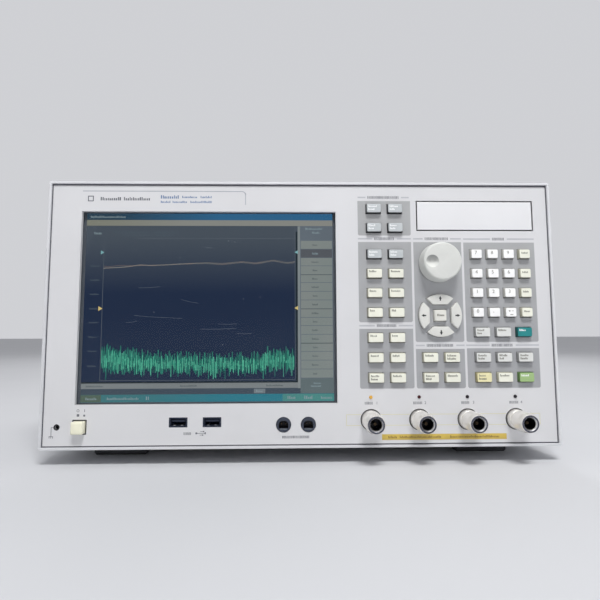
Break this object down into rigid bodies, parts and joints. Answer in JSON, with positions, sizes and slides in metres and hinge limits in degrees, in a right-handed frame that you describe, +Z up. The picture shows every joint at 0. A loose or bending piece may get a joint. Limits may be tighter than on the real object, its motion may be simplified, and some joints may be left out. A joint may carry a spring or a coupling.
{
  "type": "vector network analyzer",
  "caption": "Bench vector network analyzer: wide cabinet with a colour display on the left, keypads, arrow keys and a rotary knob on the right, and coaxial test ports along the bottom.",
  "frame": {"origin": "middle of the footprint, on the surface that the feet stand on", "axes": "+Z up, +X to the right as the user faces the front panel, +Y from the front panel to the rear"},
  "size_m": [0.4322, 0.4436, 0.2343],
  "materials": {
    "cover_paint": "matte",
    "frame_paint": "satin",
    "panel_paint": "satin",
    "chassis_zinc": "satin",
    "bright_sheet": "satin",
    "display_glass": "polished",
    "key_rubber": "matte",
    "knob_plastic": "satin",
    "button_plastic": "satin",
    "dark_plastic": "satin",
    "nickel": "polished",
    "circuit_board": "satin",
    "foot_rubber": "matte",
    "strap_vinyl": "matte"
  },
  "bodies": {
    "root": {"carrying_strap_left": "strap_vinyl", "carrying_strap_right": "strap_vinyl", "chassis": "chassis_zinc", "data_socket_board": "circuit_board", "display_module": "bright_sheet", "display_window": "display_glass", "drive_bay_cover": "panel_paint", "fan_housing": "dark_plastic", "foot_front_left": "foot_rubber", "foot_front_right": "foot_rubber", "foot_rear_left": "foot_rubber", "foot_rear_right": "foot_rubber", "front_frame": "frame_paint", "front_panel": "panel_paint", "ground_jack": "nickel", "key_board": "circuit_board", "main_board": "circuit_board", "mains_inlet": "dark_plastic", "outer_cover": "cover_paint", "power_supply": "chassis_zinc", "probe_power_board": "circuit_board", "rear_foot_lower_left": "dark_plastic", "rear_foot_lower_right": "dark_plastic", "rear_foot_upper_left": "dark_plastic", "rear_foot_upper_right": "dark_plastic", "rear_panel": "cover_paint", "rf_test_set": "bright_sheet", "standby_switch": "dark_plastic", "test_port_1": "nickel", "test_port_2": "nickel", "test_port_3": "nickel", "test_port_4": "nickel"},
    "channel_keys_row_1": {"channel_keys_row_1": "key_rubber"},
    "channel_keys_row_2": {"channel_keys_row_2": "key_rubber"},
    "response_keys_row_1": {"response_keys_row_1": "key_rubber"},
    "response_keys_row_2": {"response_keys_row_2": "key_rubber"},
    "response_keys_row_3": {"response_keys_row_3": "key_rubber"},
    "response_keys_row_4": {"response_keys_row_4": "key_rubber"},
    "stimulus_keys_row_1": {"stimulus_keys_row_1": "key_rubber"},
    "stimulus_keys_row_2": {"stimulus_keys_row_2": "key_rubber"},
    "stimulus_keys_row_3": {"stimulus_keys_row_3": "key_rubber"},
    "marker_keys_row_1": {"marker_keys_row_1": "key_rubber"},
    "marker_keys_row_2": {"marker_keys_row_2": "key_rubber"},
    "digit_keys_row_1": {"digit_keys_row_1": "key_rubber"},
    "digit_keys_row_2": {"digit_keys_row_2": "key_rubber"},
    "digit_keys_row_3": {"digit_keys_row_3": "key_rubber"},
    "digit_keys_row_4": {"digit_keys_row_4": "key_rubber"},
    "entry_keys_row_1": {"entry_keys_row_1": "key_rubber"},
    "state_keys_row_1": {"state_keys_row_1": "key_rubber"},
    "state_keys_row_2": {"state_keys_row_2": "key_rubber"},
    "arrow_key_up": {"arrow_key_up": "key_rubber"},
    "arrow_key_left": {"arrow_key_left": "key_rubber"},
    "arrow_key_down": {"arrow_key_down": "key_rubber"},
    "arrow_key_right": {"arrow_key_right": "key_rubber"},
    "enter_key": {"enter_key": "key_rubber"},
    "standby_button": {"standby_button": "button_plastic"},
    "rotary_knob": {"rotary_knob": "knob_plastic"},
    "fan_rotor": {"fan_rotor": "dark_plastic"},
    "tilt_leg_left": {"tilt_leg_left": "dark_plastic"},
    "tilt_leg_right": {"tilt_leg_right": "dark_plastic"}
  },
  "joints": [
    {"name": "channel_keys_row_1_press", "type": "slide", "parent": "root", "child": "channel_keys_row_1", "axis": [0, 1, 0], "range_m": [0, 0.0015], "stiffness_N_per_m": 1200},
    {"name": "channel_keys_row_2_press", "type": "slide", "parent": "root", "child": "channel_keys_row_2", "axis": [0, 1, 0], "range_m": [0, 0.0015], "stiffness_N_per_m": 1200},
    {"name": "response_keys_row_1_press", "type": "slide", "parent": "root", "child": "response_keys_row_1", "axis": [0, 1, 0], "range_m": [0, 0.0015], "stiffness_N_per_m": 1200},
    {"name": "response_keys_row_2_press", "type": "slide", "parent": "root", "child": "response_keys_row_2", "axis": [0, 1, 0], "range_m": [0, 0.0015], "stiffness_N_per_m": 1200},
    {"name": "response_keys_row_3_press", "type": "slide", "parent": "root", "child": "response_keys_row_3", "axis": [0, 1, 0], "range_m": [0, 0.0015], "stiffness_N_per_m": 1200},
    {"name": "response_keys_row_4_press", "type": "slide", "parent": "root", "child": "response_keys_row_4", "axis": [0, 1, 0], "range_m": [0, 0.0015], "stiffness_N_per_m": 1200},
    {"name": "stimulus_keys_row_1_press", "type": "slide", "parent": "root", "child": "stimulus_keys_row_1", "axis": [0, 1, 0], "range_m": [0, 0.0015], "stiffness_N_per_m": 1200},
    {"name": "stimulus_keys_row_2_press", "type": "slide", "parent": "root", "child": "stimulus_keys_row_2", "axis": [0, 1, 0], "range_m": [0, 0.0015], "stiffness_N_per_m": 1200},
    {"name": "stimulus_keys_row_3_press", "type": "slide", "parent": "root", "child": "stimulus_keys_row_3", "axis": [0, 1, 0], "range_m": [0, 0.0015], "stiffness_N_per_m": 1200},
    {"name": "marker_keys_row_1_press", "type": "slide", "parent": "root", "child": "marker_keys_row_1", "axis": [0, 1, 0], "range_m": [0, 0.0015], "stiffness_N_per_m": 1200},
    {"name": "marker_keys_row_2_press", "type": "slide", "parent": "root", "child": "marker_keys_row_2", "axis": [0, 1, 0], "range_m": [0, 0.0015], "stiffness_N_per_m": 1200},
    {"name": "digit_keys_row_1_press", "type": "slide", "parent": "root", "child": "digit_keys_row_1", "axis": [0, 1, 0], "range_m": [0, 0.0015], "stiffness_N_per_m": 1200},
    {"name": "digit_keys_row_2_press", "type": "slide", "parent": "root", "child": "digit_keys_row_2", "axis": [0, 1, 0], "range_m": [0, 0.0015], "stiffness_N_per_m": 1200},
    {"name": "digit_keys_row_3_press", "type": "slide", "parent": "root", "child": "digit_keys_row_3", "axis": [0, 1, 0], "range_m": [0, 0.0015], "stiffness_N_per_m": 1200},
    {"name": "digit_keys_row_4_press", "type": "slide", "parent": "root", "child": "digit_keys_row_4", "axis": [0, 1, 0], "range_m": [0, 0.0015], "stiffness_N_per_m": 1200},
    {"name": "entry_keys_row_1_press", "type": "slide", "parent": "root", "child": "entry_keys_row_1", "axis": [0, 1, 0], "range_m": [0, 0.0015], "stiffness_N_per_m": 1200},
    {"name": "state_keys_row_1_press", "type": "slide", "parent": "root", "child": "state_keys_row_1", "axis": [0, 1, 0], "range_m": [0, 0.0015], "stiffness_N_per_m": 1200},
    {"name": "state_keys_row_2_press", "type": "slide", "parent": "root", "child": "state_keys_row_2", "axis": [0, 1, 0], "range_m": [0, 0.0015], "stiffness_N_per_m": 1200},
    {"name": "arrow_key_up_press", "type": "slide", "parent": "root", "child": "arrow_key_up", "axis": [0, 1, 0], "range_m": [0, 0.0015], "stiffness_N_per_m": 1200},
    {"name": "arrow_key_left_press", "type": "slide", "parent": "root", "child": "arrow_key_left", "axis": [0, 1, 0], "range_m": [0, 0.0015], "stiffness_N_per_m": 1200},
    {"name": "arrow_key_down_press", "type": "slide", "parent": "root", "child": "arrow_key_down", "axis": [0, 1, 0], "range_m": [0, 0.0015], "stiffness_N_per_m": 1200},
    {"name": "arrow_key_right_press", "type": "slide", "parent": "root", "child": "arrow_key_right", "axis": [0, 1, 0], "range_m": [0, 0.0015], "stiffness_N_per_m": 1200},
    {"name": "enter_key_press", "type": "slide", "parent": "root", "child": "enter_key", "axis": [0, 1, 0], "range_m": [0, 0.0015], "stiffness_N_per_m": 1200},
    {"name": "standby_button_press", "type": "slide", "parent": "root", "child": "standby_button", "axis": [0, 1, 0], "range_m": [0, 0.0025], "stiffness_N_per_m": 900},
    {"name": "knob_turn", "type": "hinge", "parent": "root", "child": "rotary_knob", "pos_m": [0.115, -0.20135, 0.1646], "axis": [0, -1, 0], "continuous": true},
    {"name": "fan_spin", "type": "hinge", "parent": "root", "child": "fan_rotor", "pos_m": [0.0878, 0.17985, 0.1608], "axis": [0, 1, 0], "continuous": true},
    {"name": "tilt_leg_left_fold", "type": "hinge", "parent": "root", "child": "tilt_leg_left", "pos_m": [-0.1598, -0.15245, 0.0086], "axis": [-1, 0, 0], "range_deg": [0, 100]},
    {"name": "tilt_leg_right_fold", "type": "hinge", "parent": "root", "child": "tilt_leg_right", "pos_m": [0.1598, -0.15245, 0.0086], "axis": [-1, 0, 0], "range_deg": [0, 100]}
  ]
}
